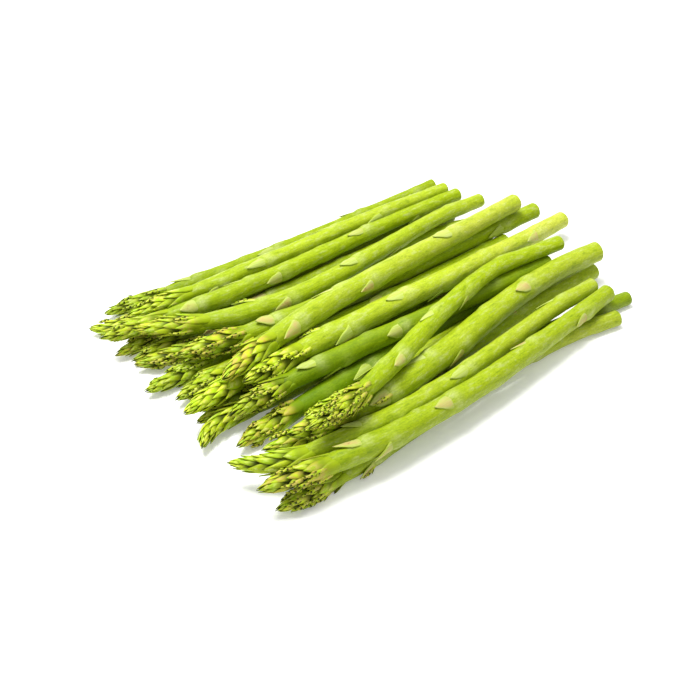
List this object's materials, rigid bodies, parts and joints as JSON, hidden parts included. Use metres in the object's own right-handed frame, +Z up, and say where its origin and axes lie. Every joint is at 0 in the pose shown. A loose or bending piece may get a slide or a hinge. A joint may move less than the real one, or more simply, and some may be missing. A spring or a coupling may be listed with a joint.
{
  "type": "bunch of green asparagus",
  "caption": "Loose bunch of trimmed green asparagus spears heaped flat side by side, all heads one way, as a food prop for a table, board or shop display.",
  "frame": {"origin": "middle of the footprint of the heap, on the surface that it lies on", "axes": "+Z up; the spears lie along X with their heads towards -X and their cut ends towards +X; +Y is across the heap, away from the camera's left-hand near corner"},
  "size_m": [0.2654, 0.1826, 0.034],
  "materials": {
    "fresh_green_spear": "satin",
    "pale_green_spear": "satin",
    "deep_green_spear": "satin"
  },
  "bodies": {
    "root": {"spear_01": "deep_green_spear", "spear_02": "fresh_green_spear", "spear_03": "deep_green_spear", "spear_04": "fresh_green_spear", "spear_05": "fresh_green_spear", "spear_06": "deep_green_spear", "spear_07": "deep_green_spear", "spear_08": "fresh_green_spear", "spear_09": "deep_green_spear", "spear_10": "deep_green_spear", "spear_11": "fresh_green_spear", "spear_12": "pale_green_spear", "spear_13": "fresh_green_spear", "spear_14": "pale_green_spear", "spear_15": "deep_green_spear", "spear_16": "fresh_green_spear", "spear_17": "fresh_green_spear", "spear_18": "deep_green_spear", "spear_19": "fresh_green_spear", "spear_20": "fresh_green_spear", "spear_21": "pale_green_spear", "spear_22": "fresh_green_spear", "spear_23": "fresh_green_spear", "spear_24": "deep_green_spear", "spear_25": "fresh_green_spear", "spear_26": "deep_green_spear"}
  },
  "joints": []
}
